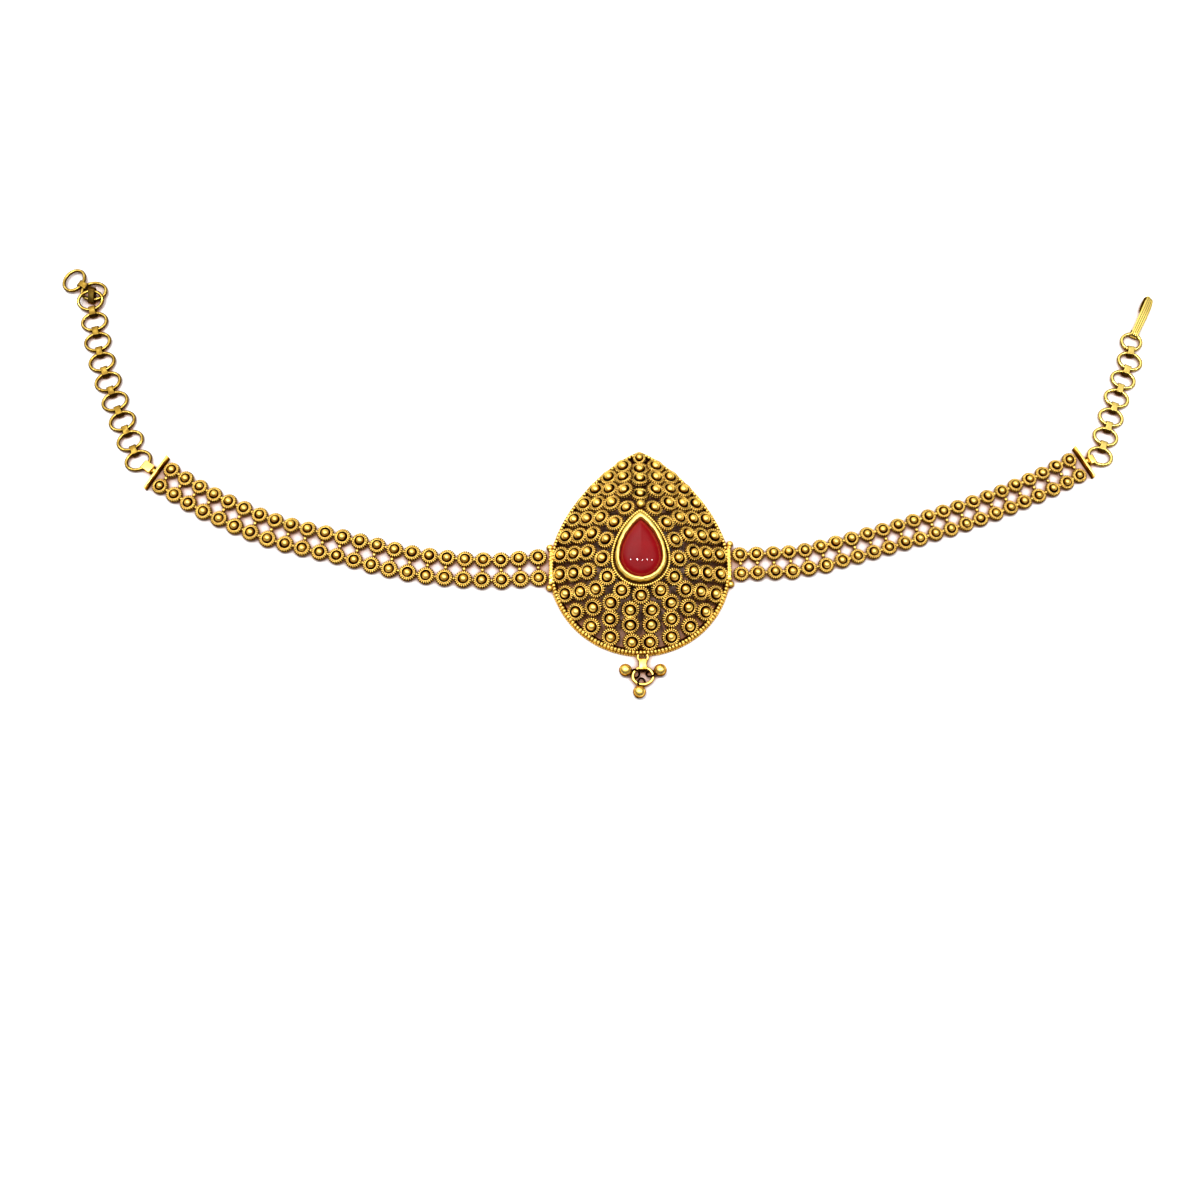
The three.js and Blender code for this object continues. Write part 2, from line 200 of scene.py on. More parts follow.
def placed(centre, along, facing):
    """A matrix that turns X towards one direction and Z towards another, and moves there."""
    across = facing.cross(along).normalized()
    along = across.cross(facing)
    turn = Matrix((along, across, facing)).transposed().to_4x4()
    return Matrix.Translation(centre) @ turn


# %% [markdown]
# Old gold is bright where fingers rub it and dark where they can't reach. Each shape keeps
# that knowledge with it: a number on every point, called shade_and_tarnish, is 0 where the
# metal is open and 1 deep in a groove. Many shapes also raise it down their sides and
# undersides, and that part is painted shade. The metals further down read it to choose
# between polished gold and tarnish, so the dark stays in the grooves from every side.

# %% Painted shade and tarnish, and finished pieces


def clamp(value):
    """A value kept between 0 and 1."""
    return min(max(value, 0.0), 1.0)


def set_shade_and_tarnish(bm, darkness_at):
    """Stores how dark each point is, for tarnish and painted shade, from a function of its place.
    """
    layer = bm.verts.layers.float.get("shade_and_tarnish") or bm.verts.layers.float.new("shade_and_tarnish")
    for vert in bm.verts:
        vert[layer] = clamp(darkness_at(vert.co))


def piece(name, bm, metal, slot, *nodes):
    """Makes a bmesh in millimetres into an object of the armlet that stands for CAD nodes."""
    bmesh.ops.scale(bm, vec=(MM, MM, MM), verts=bm.verts)
    mesh = to_mesh(bm, name)
    mesh.materials.append(metal)
    made = in_scene(name, mesh)
    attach(made, "root")
    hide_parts(*nodes)
    triangles = sum(len(face.vertices) - 2 for face in mesh.polygons)
    print(f"{name}: {triangles} triangles")


# %% [markdown]
# ## Metals and stone
# A shader group works out what all the metals share. It mixes a polished colour and a
# tarnished one by the place's shade_and_tarnish number, which holds tarnish in grooves and
# painted shade, breaks the border between them up with noise so that it looks hand rubbed,
# and gives the height of the fine dents for a bump. The group puts out a colour, a roughness
# and a height only, and each metal has its own shader.
# Nodes take many lines to add and link, so a few helpers come first that do it by name.

# %% Nodes


def plug(tree, value, slot):
    """Links another node's output to an input, or sets the input to a plain value."""
    if isinstance(value, bpy.types.NodeSocket):
        tree.links.new(value, slot)
    else:
        slot.default_value = value


def feed(tree, node, **values):
    """Plugs values and outputs into a node's inputs by their names."""
    for name, value in values.items():
        plug(tree, value, node.inputs[name.replace("_", " ")])


def add(tree, kind, **values):
    """Adds a node and sets its properties, and feeds its inputs where the name is an input's."""
    node = tree.nodes.new(kind)
    for name, value in values.items():
        if hasattr(node, name):
            setattr(node, name, value)
        else:
            feed(tree, node, **{name: value})
    return node


def sums(tree, operation, *values):
    """The result of a math node, whose inputs share a name and so are fed in order."""
    node = add(tree, "ShaderNodeMath", operation=operation)
    for slot, value in zip(node.inputs, values):
        plug(tree, value, slot)
    return node.outputs[0]


def ramp(tree, value, low, high, **values):
    """A value's way from low to high, as a share from 0 to 1 or up to another top."""
    node = add(tree, "ShaderNodeMapRange", Value=value, From_Min=low, From_Max=high, **values)
    return node.outputs["Result"]


def mix(tree, share, first, second):
    """Two colours mixed by a share."""
    node = add(tree, "ShaderNodeMix", data_type="RGBA", Factor=share, A=first, B=second)
    return node.outputs["Result"]


def own_noise(tree, **values):
    """Noise in a piece's own coordinates."""
    place = tree.nodes.new("ShaderNodeTexCoord").outputs["Object"]
    return add(tree, "ShaderNodeTexNoise", Vector=place, **values).outputs["Fac"]


# %% Shared group for worn metal
GROUP_INPUTS = {"Polished": "Color", "Film": "Color", "Tarnish": "Color", "Hollow": "Float",
                "Smoothness": "Float"}
GROUP_OUTPUTS = {"Color": "Color", "Roughness": "Float", "Height": "Float"}
PATCHES_PER_METRE = 900.0
DENTS_PER_METRE = 2600.0
TARNISH_ROUGHNESS = 0.2


def worn_metal_group():
    """Colour, roughness and dents of a metal: polished outside, dark in grooves and painted shade.
    """
    tree = bpy.data.node_groups.new("worn_metal", "ShaderNodeTree")
    for direction, sockets in (("INPUT", GROUP_INPUTS), ("OUTPUT", GROUP_OUTPUTS)):
        for name, kind in sockets.items():
            tree.interface.new_socket(name, in_out=direction, socket_type=f"NodeSocket{kind}")
    given = tree.nodes.new("NodeGroupInput").outputs

    patches = own_noise(tree, Scale=PATCHES_PER_METRE, Detail=4.0, Roughness=0.6)
    uneven = sums(tree, "MULTIPLY_ADD", patches, 0.6, -0.3)
    depth = sums(tree, "ADD", given["Hollow"], uneven)
    mask = ramp(tree, depth, 0.15, 0.75, interpolation_type="SMOOTHSTEP")
    film = mix(tree, ramp(tree, mask, 0.0, 0.5), given["Polished"], given["Film"])
    colour = mix(tree, ramp(tree, mask, 0.5, 1.0), film, given["Tarnish"])

    dull = sums(tree, "SUBTRACT", 1.0, given["Smoothness"])
    rough = sums(tree, "MULTIPLY_ADD", mask, TARNISH_ROUGHNESS, dull)
    dents = own_noise(tree, Scale=DENTS_PER_METRE, Detail=3.0)
    feed(tree, tree.nodes.new("NodeGroupOutput"), Color=colour, Roughness=rough, Height=dents)
    return tree


worn_metal = worn_metal_group()
print("worn metal group:", len(worn_metal.nodes), "nodes")

# %% [markdown]
# Three metals use the group. The armlet's body is antique gold with almost black brown in
# its grooves. The chains are a paler gold that is handled more and has little tarnish. The
# stone's setting is soft, nearly pure gold that was pushed over the stone by hand, so it is
# the yellowest and the most dented.

# %% Metals


def new_material(name):
    """A material, its node tree and its main shader."""
    made = bpy.data.materials.new(name)
    made.use_nodes = True
    return made, made.node_tree, made.node_tree.nodes["Principled BSDF"]


def metal(name, polished, film, tarnish, smoothness, dent):
    """A metal in three colours, from open to hidden and shade-painted, with dents of a depth in
    millimetres.
    """
    made, tree, shader = new_material(name)
    shade_and_tarnish = add(tree, "ShaderNodeAttribute", attribute_name="shade_and_tarnish").outputs["Fac"]
    worn = add(tree, "ShaderNodeGroup", node_tree=worn_metal, Hollow=shade_and_tarnish,
               Polished=(*polished, 1), Film=(*film, 1), Tarnish=(*tarnish, 1),
               Smoothness=smoothness).outputs
    bump = add(tree, "ShaderNodeBump", Strength=0.6, Distance=dent * MM, Height=worn["Height"])
    feed(tree, shader, Metallic=1.0, Specular_Tint=(*polished, 1), Base_Color=worn["Color"],
         Roughness=worn["Roughness"], Normal=bump.outputs["Normal"])
    return made


antique_gold = metal("antique_gold", polished=(1.0, 0.68, 0.15), film=(0.42, 0.15, 0.01),
                     tarnish=(0.012, 0.003, 0.001), smoothness=0.68, dent=0.01)
chain_gold = metal("chain_gold", polished=(0.76, 0.57, 0.15), film=(0.33, 0.20, 0.03),
                   tarnish=(0.08, 0.035, 0.006), smoothness=0.8, dent=0.015)
setting_gold = metal("setting_gold", polished=(0.87, 0.66, 0.16), film=(0.50, 0.30, 0.04),
                     tarnish=(0.04, 0.015, 0.003), smoothness=0.62, dent=0.10)
print("metals:", antique_gold.name, chain_gold.name, setting_gold.name)

# %% [markdown]
# The stone is a smooth cabochon of deep red, so dense that hardly any light comes through.
# An opaque red under a clear, glossy surface shows it better than real glass would. Faint
# clouds in the colour and slow waves in the polish keep it from looking like plastic.

# %% Red stone


def stone_material():
    """An opaque red with faint clouds, under a surface with slow waves."""
    made, tree, shader = new_material("deep_red")
    clouds = own_noise(tree, Scale=350.0, Detail=3.0)
    waves = own_noise(tree, Scale=500.0, Detail=2.0)
    colour = mix(tree, clouds, (0.14, 0.001, 0.003, 1), (0.24, 0.004, 0.006, 1))
    bump = add(tree, "ShaderNodeBump", Strength=0.5, Distance=0.06 * MM, Height=waves)
    feed(tree, shader, Base_Color=colour, Roughness=0.04, Specular_IOR_Level=0.17,
         Normal=bump.outputs["Normal"])
    return made


deep_red = stone_material()
print("stone:", deep_red.name)

# %% [markdown]
# ## One cup
# The whole armlet is built of one motif. A short collar of sheet has a floor, two rings of
# notched wire are wound round it, and a granule sits in the middle. From above it reads as
# a bright ring, a black groove and a bright ball. The notches could be a bump, but the
# light comes from all sides and the ring's outline shows its teeth, so they are modelled:
# a spun ring of wire whose thickness swells and shrinks as it goes round.

# %% Notched wire, collar and granule
NOTCHES = 22
STEPS_PER_NOTCH = 4
NOTCH_DEPTH = 0.65
# Tarnish in the notches, and painted shade on the wire's underside and inner side
DARK = {"notch": 1.9, "under": 0.6, "inside": 0.5, "open": -0.15}
COLLAR_WALL = 0.16
COLLAR_STEPS = 28


def notched_ring(radius, wire, height, sides, shade=0.0):
    """A ring of wire with notches biting from outside: tarnish in them, painted shade under and
    inside.
    """
    bm = lathe(round_section(radius, wire, sides), NOTCHES * STEPS_PER_NOTCH, closed=True)
    layer = bm.verts.layers.float.new("shade_and_tarnish")
    for vert in bm.verts:
        turn = math.atan2(vert.co.y, vert.co.x)
        middle = Vector((vert.co.x, vert.co.y, 0)).normalized() * radius
        outward = (vert.co.xy.length - radius) / wire
        under = -vert.co.z / wire
        notch = 1 - abs(math.cos(NOTCHES / 2 * turn)) ** 1.3
        bite = notch * (0.65 + 0.35 * outward)
        vert.co = middle + (vert.co - middle) * (1 - NOTCH_DEPTH * bite)
        vert[layer] = clamp(DARK["notch"] * bite + DARK["under"] * (1 + under)
                            + DARK["inside"] * max(-outward, 0) + DARK["open"] + shade)
    bmesh.ops.translate(bm, vec=(0, 0, height), verts=bm.verts)
    return bm


def collar(inner, outer, bottom, floor, rim):
    """A short tube with a floor, its rim slightly rounded."""
    lip = 0.25 * (outer - inner)
    profile = [
        (0, floor), (inner, floor), (inner, rim - 2 * lip), (inner + lip, rim - 0.3 * lip),
        ((inner + outer) / 2, rim), (outer - lip, rim - 0.3 * lip), (outer, rim - 2 * lip),
        (outer, bottom), (0, bottom),
    ]
    bm = lathe(profile, COLLAR_STEPS)
    inside = inner + 0.5 * lip
    hidden = rim - 3 * lip
    set_shade_and_tarnish(bm, lambda co: 1.0 if co.xy.length < inside else 0.7 if co.z < hidden else 0.0)
    return bm


def granule(radius, rings=10, segments=16):
    """A gold ball painted darker from its top down: painted shade above its waist, tarnish below.
    """
    bm = bmesh.new()
    bmesh.ops.create_uvsphere(bm, u_segments=segments, v_segments=rings, radius=radius)
    set_shade_and_tarnish(bm, lambda co: 0.9 - 0.95 * co.z / radius)
    return bm


print("a ring of notched wire has", NOTCHES, "notches")

# %% Cups of the plaque and of the bands


def wound_cup(outer, wire, bottom, rim, floor):
    """A collar with two rings of notched wire wound round it, one above the other."""
    tube = outer - 2.6 * wire
    cup = bmesh.new()
    wall = as_shape(collar(tube - COLLAR_WALL / 2, tube + COLLAR_WALL / 2, bottom, floor, rim))
    stamp(cup, wall, HERE)
    upper = notched_ring(outer - 1.6 * wire, wire, rim - wire, sides=8)
    # The lower ring is painted darker all over, as painted shade below the upper one.
    lower = notched_ring(outer - wire, wire, rim - 2.3 * wire, sides=6, shade=0.25)
    for ring in (upper, lower):
        stamp(cup, as_shape(ring, WIRE_SHARP), HERE)
    return to_mesh(cup, "cup")


plaque_cup = wound_cup(outer=2.08, wire=0.29, bottom=-0.5, rim=0.55, floor=-0.25)
plaque_granule = as_shape(granule(0.95))
print("faces of a cup:", len(plaque_cup.polygons) + len(plaque_granule.polygons))

# %% [markdown]
# ## Plaque
# The plaque is a low dome in the shape of a pear, and every row of cups follows a pear of
# its own. A pear is half an ellipse below its waist, and above the waist two powers draw its
# sides in to a point. The class below measures the pear once, so that cups, beads and
# wires can ask for a place by how far round from the foot it is.

# %% Outlines
PEAR_POWERS = {"level": 1.8, "width": 0.8}
SAMPLES = 1440


class Outline:
    """A closed line that gives places by their share of the way round it."""

    def __init__(self, x, y):
        self.x, self.y = x, y
        steps = np.hypot(np.diff(x), np.diff(y))
        self.travelled = np.concatenate([[0], np.cumsum(steps)])
        self.length = self.travelled[-1]

    def point(self, turn):
        """The place at a share of the way round."""
        way = (turn % 1) * self.length
        x = np.interp(way, self.travelled, self.x)
        y = np.interp(way, self.travelled, self.y)
        return Vector((x, y, 0))

    def tangent(self, turn, reach=0.2):
        """The direction of travel there, from two places a short reach away."""
        step = reach / self.length
        return (self.point(turn + step) - self.point(turn - step)).normalized()

    def outward(self, turn):
        """The direction that points straight out of the line there."""
        tangent = self.tangent(turn)
        return Vector((tangent.y, -tangent.x, 0))


def pear(side, foot, tip):
    """A pear that starts at its foot."""
    angles = np.linspace(0, 2 * np.pi, SAMPLES + 1)
    level = -np.cos(angles)
    below = np.sqrt(1 - np.minimum(level**2, 1))
    above = (1 - np.minimum(np.abs(level), 1) ** PEAR_POWERS["level"]) ** PEAR_POWERS["width"]
    width = np.where(level < 0, below, above)
    reach = np.where(level < 0, WAIST - foot, tip - WAIST)
    return Outline(np.sign(np.sin(angles)) * side * width, WAIST + reach * level)


def oval(across, along):
    """An oval that starts at the foot of its Y axis."""
    angles = np.linspace(0, 2 * np.pi, SAMPLES + 1)
    return Outline(np.sin(angles) * across / 2, -np.cos(angles) * along / 2)


def share_round(co):
    """How far round the Z axis a point is, as a share of a turn from -Y."""
    return (math.atan2(co.x, -co.y) / (2 * math.pi)) % 1


def follow(bm, line, radius):
    """Carries a ring of the given radius onto a closed line, keeping its thickness."""
    for vert in bm.verts:
        turn = share_round(vert.co)
        offset = vert.co.xy.length - radius
        height = vert.co.z
        vert.co = line.point(turn) + line.outward(turn) * offset
        vert.co.z = height


def fill(bm, line):
    """Stretches a shape of unit radius until its edge lies on a pear."""
    middle = Vector((0, WAIST, 0))
    for vert in bm.verts:
        rim = line.point(share_round(vert.co))
        height = vert.co.z
        vert.co = middle + (rim - middle) * vert.co.xy.length
        vert.co.z = height


outer_pear = pear(**FRAME_PEAR)
print("the frame is", round(outer_pear.length, 1), "mm round")

# %% [markdown]
# Cups are counted both ways from a row's middle cup, which sits at the pear's point or at
# its foot. They crowd a little towards the point, where the middle cup is set back so that
# the row ends in a blunt arch. The cups lean outwards, as the dome falls away, and no two
# are set quite alike, so each one is turned at random and tipped a little. The random
# numbers are seeded, so the armlet comes out the same every time.

# %% Rows of cups
AT_FOOT = 0.0
AT_TIP = 0.5
CUP_ROWS = [
    {"side": 16.8, "foot": -18.3, "tip": 22.6, "height": 1.9, "lean": 22, "cups": 27,
     "pitch": 4.26, "middle": AT_TIP, "crowding": 0.012, "apex": 20.0},
    {"side": 13.95, "foot": -15.05, "tip": 19.7, "height": 3.4, "lean": 26, "cups": 23,
     "pitch": 4.18, "middle": AT_TIP, "crowding": 0.006, "apex": 17.2},
    {"side": 11.1, "foot": -12.3, "tip": 16.4, "height": 4.8, "lean": 26, "cups": 19,
     "pitch": 4.12, "middle": AT_TIP, "crowding": 0.007, "apex": 13.2},
    {"side": 7.85, "foot": -9.35, "tip": 11.9, "height": 6.1, "lean": 22, "cups": 13,
     "pitch": 4.14, "middle": AT_FOOT, "crowding": 0, "apex": None},
]
BALL_HEIGHT = {"plaque": 0.35, "band": 1.2}
OFF_CENTRE = 0.09
BALL_SIZES = (0.96, 1.04)
chance = random.Random(41)


def set_cup(bm, cup, ball, ball_height, centre, along, facing, size=1.0, tip=3.0):
    """Stamps a cup and its granule with a little disorder."""
    unsteady = facing.copy()
    for axis in (along, facing.cross(along)):
        unsteady.rotate(Matrix.Rotation(math.radians(chance.uniform(-tip, tip)), 3, axis))
    place = placed(centre, along, unsteady)
    turn = Matrix.Rotation(chance.uniform(0, 2 * math.pi), 4, "Z")
    scale = Matrix.Scale(size, 4)
    stamp(bm, cup, place @ turn @ scale)
    aside = [chance.uniform(-OFF_CENTRE, OFF_CENTRE) for _ in range(2)]
    shift = Vector((*aside, ball_height))
    grown = Matrix.Scale(size * chance.uniform(*BALL_SIZES), 4)
    stamp(bm, ball, place @ Matrix.Translation(shift) @ grown)


def cup_row(row):
    """All cups of one of the plaque's rows."""
    line = pear(row["side"], row["foot"], row["tip"])
    bm = bmesh.new()
    lean = math.radians(row["lean"])
    for index in range(row["cups"]):
        steps = index - (row["cups"] - 1) / 2
        even = row["middle"] + steps * row["pitch"] / line.length
        turn = even + row["crowding"] * math.sin(2 * math.pi * even)
        place = line.point(turn)
        if row["apex"] and steps == 0:
            place.y = row["apex"]
        centre = PLAQUE + place + UP * row["height"]
        facing = UP * math.cos(lean) + line.outward(turn) * math.sin(lean)
        set_cup(bm, plaque_cup, plaque_granule, BALL_HEIGHT["plaque"], centre,
                line.tangent(turn), facing)
    return bm


for number, row in enumerate(CUP_ROWS, start=1):
    piece(f"plaque_row_{number}", cup_row(row), antique_gold, "gold", "plaque")

TIP_CUP = Vector((0, 22.9, 1.6))
CROWN_GRANULE = Vector((0.1, 10.4, 6.7))
point = bmesh.new()
set_cup(point, plaque_cup, plaque_granule, BALL_HEIGHT["plaque"], PLAQUE + TIP_CUP,
        Vector((1, 0, 0)), UP, size=0.72)
stamp(point, plaque_granule, Matrix.Translation(PLAQUE + CROWN_GRANULE))
piece("plaque_point", point, antique_gold, "gold", "plaque")

# %% [markdown]
# The frame is a standing strip of sheet bent round the plaque, with a beaded wire soldered
# along its top edge and a twisted one at its foot. Beads could be stamped one by one, but
# a spun ring of wire whose thickness follows a wave has no seams between them and fewer
# faces. It is made as a circle first and then carried onto the pear.

# %% Frame strip and its wires
FRAME_STEPS = 160
BEAD_SIZES = (0.82, 1.12)


def beaded_wire(line, height, wire, bead, steps=6, sides=8, neck=0.45):
    """A closed wire of beads along a line; wire is its radius and bead the beads' spacing."""
    beads = round(line.length / bead)
    sizes = [chance.uniform(*BEAD_SIZES) for _ in range(beads)]
    radius = line.length / (2 * math.pi)
    bm = lathe(round_section(radius, wire, sides), beads * steps, closed=True)
    layer = bm.verts.layers.float.new("shade_and_tarnish")
    for vert in bm.verts:
        turn = beads * share_round(vert.co)
        size = sizes[round(turn) % beads]
        swell = abs(math.cos(math.pi * turn)) ** 0.6
        middle = Vector((vert.co.x, vert.co.y, 0)).normalized() * radius
        vert.co = middle + (vert.co - middle) * (neck + (size - neck) * swell)
        # Tarnish in the necks between beads, painted shade down the wire's sides, smaller beads
        # darker.
        vert[layer] = clamp(1.8 * (1 - swell) - 0.7 * vert.co.z / wire + 1.5 * (1 - size))
    follow(bm, line, radius)
    bmesh.ops.translate(bm, vec=PLAQUE + UP * height, verts=bm.verts)
    mark_sharp(bm, WIRE_SHARP)
    return bm


def frame_strip():
    """The standing strip, from its outer foot over the top to its inner foot."""
    profile = [(0.935, 0.0), (1.0, 0.0), (1.0, 1.2), (0.994, 1.3), (0.968, 1.3),
               (0.96, 1.0), (0.935, 1.0)]
    bm = lathe(profile, FRAME_STEPS, closed=True)
    # Painted shadow: the inner side and the ledge inside the beaded wire are full dark, for the
    # shadow in that gap; the outer side is half dark.
    set_shade_and_tarnish(bm, lambda co: 0.5 if co.xy.length > 0.99 else 1.0)
    fill(bm, outer_pear)
    bmesh.ops.translate(bm, vec=PLAQUE, verts=bm.verts)
    mark_sharp(bm)
    return bm


crest = pear(side=18.6, foot=-20.3, tip=24.05)
foot = pear(side=18.95, foot=-20.65, tip=24.45)
piece("frame_strip", frame_strip(), antique_gold, "gold", "plaque")
piece("frame_beads", beaded_wire(crest, 1.4, 0.40, 0.76, neck=0.3),
      antique_gold, "gold", "plaque")
piece("frame_foot_wire", beaded_wire(foot, 0.25, 0.24, 0.55, steps=3, sides=6),
      antique_gold, "gold", "plaque")

# %% [markdown]
# ## Setting and stone
# The stone sits in a wall of soft gold that was rubbed down over its edge. In section the
# wall is a thick rounded lip with a step inside for the stone, so a spun profile stretched
# to a small pear makes it. A twisted wire lies round its foot. Slow noise then pushes the
# lip in and out by up to a tenth or so, which is what a hand tool leaves behind.

# %% Setting, foot wire and cabochon
SETTING_PEAR = {"side": 5.25, "foot": -6.9, "tip": 8.2}
SETTING_STEPS = 120
FOOT_TOP = 7.0
LIP_TOP = 9.0
TOOL_MARKS = [(1.3, 0.11), (3.7, 0.06)]


def setting_wall():
    """The wall and its lip, pushed in and out a little above its foot."""
    profile = [
        (0.0, 5.6), (1.19, 5.6), (1.19, 6.7), (1.0, 6.9), (1.0, 8.3), (0.985, 8.7),
        (0.95, 8.93), (0.91, LIP_TOP), (0.87, 8.93), (0.845, 8.7), (0.83, 8.2), (0.83, 6.6),
        (0.0, 6.6),
    ]
    bm = lathe(profile, SETTING_STEPS)
    fill(bm, pear(**SETTING_PEAR))
    for vert in bm.verts:
        if vert.co.z > FOOT_TOP:
            push = sum(noise.noise(vert.co * often) * deep for often, deep in TOOL_MARKS)
            outwards = Vector((vert.co.x, vert.co.y - WAIST, 0)).normalized()
            vert.co += outwards * push + UP * push * 0.6
    # Tarnish below the foot wire's top, and painted shade that darkens the wall from the lip's top
    # down.
    set_shade_and_tarnish(bm, lambda co: 1.0 if co.z < FOOT_TOP else 0.15 * (LIP_TOP - co.z))
    bmesh.ops.translate(bm, vec=PLAQUE, verts=bm.verts)
    mark_sharp(bm)
    return bm


def cabochon(girdle=8.15, top=9.8, fit=0.815, bed=6.72, rings=12):
    """A low dome that flattens towards its middle."""
    profile = [(0.0, bed), (fit, bed), (fit, girdle)]
    for ring in range(1, rings + 1):
        share = math.cos(math.pi / 2 * ring / rings)
        profile.append((fit * share, girdle + (top - girdle) * (1 - share**2.2) ** 0.75))
    bm = lathe(profile, SETTING_STEPS)
    fill(bm, pear(**SETTING_PEAR))
    bmesh.ops.translate(bm, vec=PLAQUE, verts=bm.verts)
    mark_sharp(bm)
    return bm


piece("setting", setting_wall(), setting_gold, "gold", "plaque")
foot_wire = pear(side=5.95, foot=-7.55, tip=8.9)
piece("setting_foot_wire", beaded_wire(foot_wire, FOOT_TOP, 0.34, 0.5, steps=4, sides=6, neck=0.7),
      antique_gold, "gold", "plaque")
piece("cabochon", cabochon(), deep_red, "red_stone", "stone")

# %% [markdown]
# ## Bands
# A band is 23 pairs of cups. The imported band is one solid, whose granules are the highest
# points in it, so the cups' places are read from the points at that height. Sorting them
# along X and taking them two by two gives the pairs. Neighbours touch, and a small drop of
# solder bridges each touch, as on the real armlet.

# %% Places of the bands' cups
TIP_DEPTH = 0.05


def granule_tops(node):
    """The places of a band's granule tips, as (upper, lower) pairs from the plaque outwards."""
    points = np.array([vert.co for vert in frame["nodes"][node].data.vertices]) / MM
    tops = points[points[:, 2] > points[:, 2].max() - TIP_DEPTH]
    places = np.unique(np.round(tops, 2), axis=0)
    places = places[np.argsort(np.abs(places[:, 0] - PLAQUE.x))]
    pairs = [sorted(pair, key=lambda place: -place[1]) for pair in zip(places[::2], places[1::2])]
    return [[Vector((*place[:2], 0)) for place in pair] for pair in pairs]


band_pairs = {side: granule_tops(f"band_{side}") for side in ("left", "right")}
for side, pairs in band_pairs.items():
    print(side, "band:", len(pairs), "pairs of cups")

# %% Cups and solder of the bands
BAND_CUP_RADIUS = 1.9
SOLDER = {"in_pair": 1.25, "in_row": 0.9, "heights": (0.75, 1.1)}
band_cup = wound_cup(outer=BAND_CUP_RADIUS, wire=0.27, bottom=0.0, rim=1.45, floor=0.45)
band_granule = as_shape(granule(0.84))
solder_grain = as_shape(granule(0.36, rings=6, segments=8))


def neighbours(line, index):
    """The places before and after one in a line, or its own at an end."""
    return line[max(index - 1, 0)], line[min(index + 1, len(line) - 1)]


def band_cups(pairs, tip):
    """Cups sized to reach their neighbours in the row, each tipped by up to some degrees."""
    bm = bmesh.new()
    for line in zip(*pairs):
        for index, centre in enumerate(line):
            before, after = neighbours(line, index)
            spans = [(centre - other).length for other in (before, after) if other != centre]
            size = sum(spans) / len(spans) / 2 / BAND_CUP_RADIUS
            along = (after - before).normalized()
            lift = BAND_CUP_RADIUS * math.sin(math.radians(tip)) / 2
            set_cup(bm, band_cup, band_granule, BALL_HEIGHT["band"], centre + UP * lift,
                    along, UP, size, tip)
    return bm


def band_solder(pairs):
    """Grains between neighbours in a row, and between the two cups of a pair."""
    bm = bmesh.new()
    joints = [(upper, lower, SOLDER["in_pair"]) for upper, lower in pairs]
    for line in zip(*pairs):
        joints += [(*both, SOLDER["in_row"]) for both in zip(line, line[1:])]
    for first, second, size in joints:
        middle = (first + second) / 2 + UP * chance.uniform(*SOLDER["heights"])
        stamp(bm, solder_grain, Matrix.Translation(middle) @ Matrix.Scale(size, 4))
    return bm


for side, tip in (("left", 3.0), ("right", 6.0)):
    pairs = band_pairs[side]
    piece(f"band_{side}_cups", band_cups(pairs, tip), antique_gold, "gold", f"band_{side}")
    piece(f"band_{side}_solder", band_solder(pairs), antique_gold, "gold", f"band_{side}")

# %% [markdown]
# ## Lugs
# Where a band meets the frame, a short strip stands against the frame's side. It carries
# a row of small grains that hides the joint, and a larger granule closes it at each end.
# Grains are cheap copies of one small ball.

# %% Lugs at the plaque's sides
LUG = {"face": 19.05, "length": 7.6, "height": 1.7, "thickness": 0.6, "granule": 0.75,
       "granule_height": 0.85, "grains": 8, "grain_row": 7.0, "grain_out": 0.15,
       "grain_sink": 0.2, "grain_sizes": (0.8, 1.15), "strays": 0.1,
       "overlap": 0.1}
lug_grain = as_shape(granule(0.40, rings=8, segments=10))
lug_granule = as_shape(granule(LUG["granule"], rings=10, segments=16))


def round_edges(bm, edges, radius):
    """Rounds edges off with a bevel of two steps."""
    bmesh.ops.bevel(bm, geom=edges, offset=radius, segments=2, profile=0.5,
                    affect="EDGES", material=-1)


def block(centre, along, size, round_off=0.08):
    """A box turned towards a direction, its edges rounded."""
    bm = bmesh.new()
    bmesh.ops.create_cube(bm, size=1)
    bmesh.ops.scale(bm, vec=size, verts=bm.verts)
    round_edges(bm, bm.edges[:], round_off)
    # Painted shade: the box is darker from its top down.
    set_shade_and_tarnish(bm, lambda co: 0.8 - 1.3 * co.z / size[2])
    bmesh.ops.transform(bm, matrix=placed(centre, along, UP), verts=bm.verts)
    return bm


def lug(side, level):
    """The lug at one side (-1 or 1) and at a level along the plaque."""
    bm = bmesh.new()
    middle = PLAQUE + Vector((side * (LUG["face"] - LUG["thickness"] / 2), level, 0))
    size = (LUG["thickness"], LUG["length"], LUG["height"])
    strip = as_shape(block(middle + UP * LUG["height"] / 2, Vector((1, 0, 0)), size))
    stamp(bm, strip, HERE)
    for index in range(LUG["grains"]):
        along = (index / (LUG["grains"] - 1) - 0.5) * LUG["grain_row"]
        along += chance.uniform(-LUG["strays"], LUG["strays"])
        shift = Vector((side * LUG["grain_out"], along, LUG["height"] - LUG["grain_sink"]))
        grown = Matrix.Scale(chance.uniform(*LUG["grain_sizes"]), 4)
        stamp(bm, lug_grain, Matrix.Translation(middle + shift) @ grown)
    for end in (-1, 1):
        reach = LUG["length"] / 2 + LUG["granule"] - LUG["overlap"]
        place = Vector((side * LUG["face"], level + end * reach, LUG["granule_height"]))
        stamp(bm, lug_granule, Matrix.Translation(PLAQUE + place))
    return bm


for name, side in (("left", -1), ("right", 1)):
    first_pair = band_pairs[name][0]
    level = (first_pair[0].y + first_pair[1].y) / 2 - PLAQUE.y
    piece(f"lug_{name}", lug(side, level), antique_gold, "gold", "plaque")

